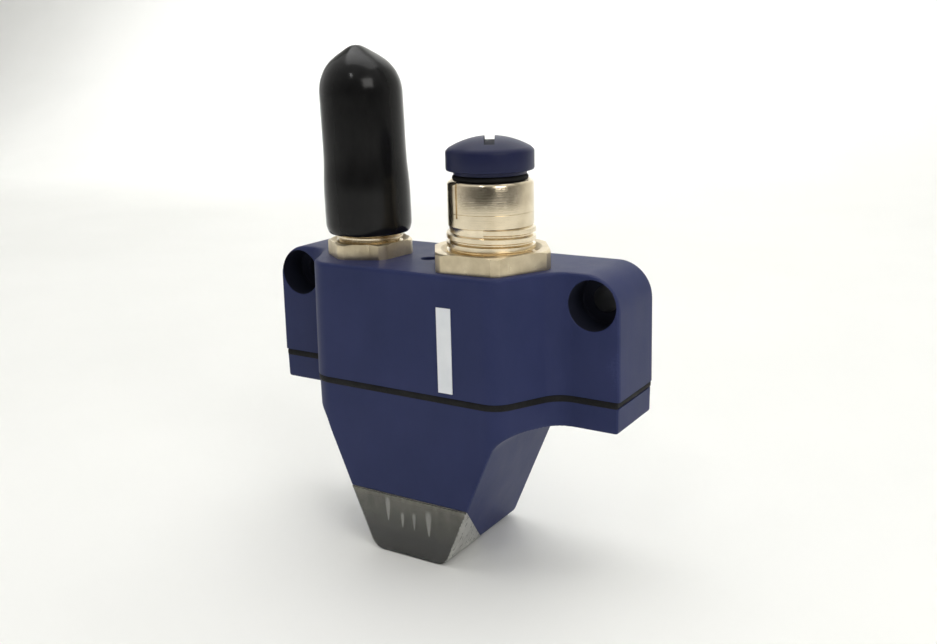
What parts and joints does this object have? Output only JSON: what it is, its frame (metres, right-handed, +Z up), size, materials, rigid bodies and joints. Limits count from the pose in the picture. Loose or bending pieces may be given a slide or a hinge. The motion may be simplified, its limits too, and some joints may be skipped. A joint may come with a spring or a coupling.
{
  "type": "limit switch receiver unit",
  "caption": "Blue two-part housing with two mounting ears, a clear light guide in its wedge-shaped nose, a capped male and a plugged female round threaded connector on top.",
  "frame": {"origin": "on the flat back face, midway between the two mounting holes", "axes": "+X to the right seen from the front, +Y out of the back face towards the mounting surface, +Z up towards the connectors"},
  "size_m": [0.071, 0.025, 0.0888],
  "materials": {
    "housing_plastic": "satin moulded",
    "seal_rubber": "matt",
    "clear_plastic": "clear, slightly smoky",
    "label_film": "matt printed film",
    "steel": "zinc plated",
    "nickel": "nickel plated, turned",
    "insert_plastic": "matt",
    "contact_metal": "gold plated",
    "cap_vinyl": "glossy, soft",
    "plug_plastic": "satin moulded",
    "board": "solder mask",
    "tinplate": "tinned",
    "copper": "bare wire",
    "chip_body": "moulded",
    "lamp_resin": "clear resin",
    "wire_cover": "extruded"
  },
  "bodies": {
    "unit": {"upper_housing": "housing_plastic", "lower_housing": "housing_plastic", "housing_gasket": "seal_rubber", "light_guide": "clear_plastic", "front_label": "label_film", "housing_screws": "steel", "male_shell": "nickel", "male_nut": "nickel", "male_insert": "insert_plastic", "male_pins": "contact_metal", "male_seal": "seal_rubber", "female_shell": "nickel", "female_nut": "nickel", "female_insert": "insert_plastic", "female_contacts": "contact_metal", "female_seal": "seal_rubber", "main_board": "board", "radio_board": "board", "shield_can": "tinplate", "antenna": "copper", "board_header": "insert_plastic", "controller_chip": "chip_body", "capacitors": "tinplate", "led_board": "board", "leds": "lamp_resin", "led_leads": "wire_cover"},
    "cap": {"dust_cap": "cap_vinyl"},
    "plug_ring": {"plug_seal": "seal_rubber"},
    "plug": {"blanking_plug": "plug_plastic"}
  },
  "joints": [
    {"name": "cap_pull", "type": "slide", "parent": "unit", "child": "cap", "axis": [0, 0, 1], "range_m": [0, 0.015]},
    {"name": "plug_rise", "type": "slide", "parent": "unit", "child": "plug_ring", "axis": [0, 0, 1], "range_m": [0, 0.01]},
    {"name": "plug_turn", "type": "hinge", "parent": "plug_ring", "child": "plug", "pos_m": [0.01177, -0.0138, 0.0195], "axis": [0, 0, 1], "range_deg": [0, 3600]}
  ],
  "couplings": [
    {"joint": "plug_turn", "follows": "plug_rise", "rad_per_m": 6283.2}
  ]
}
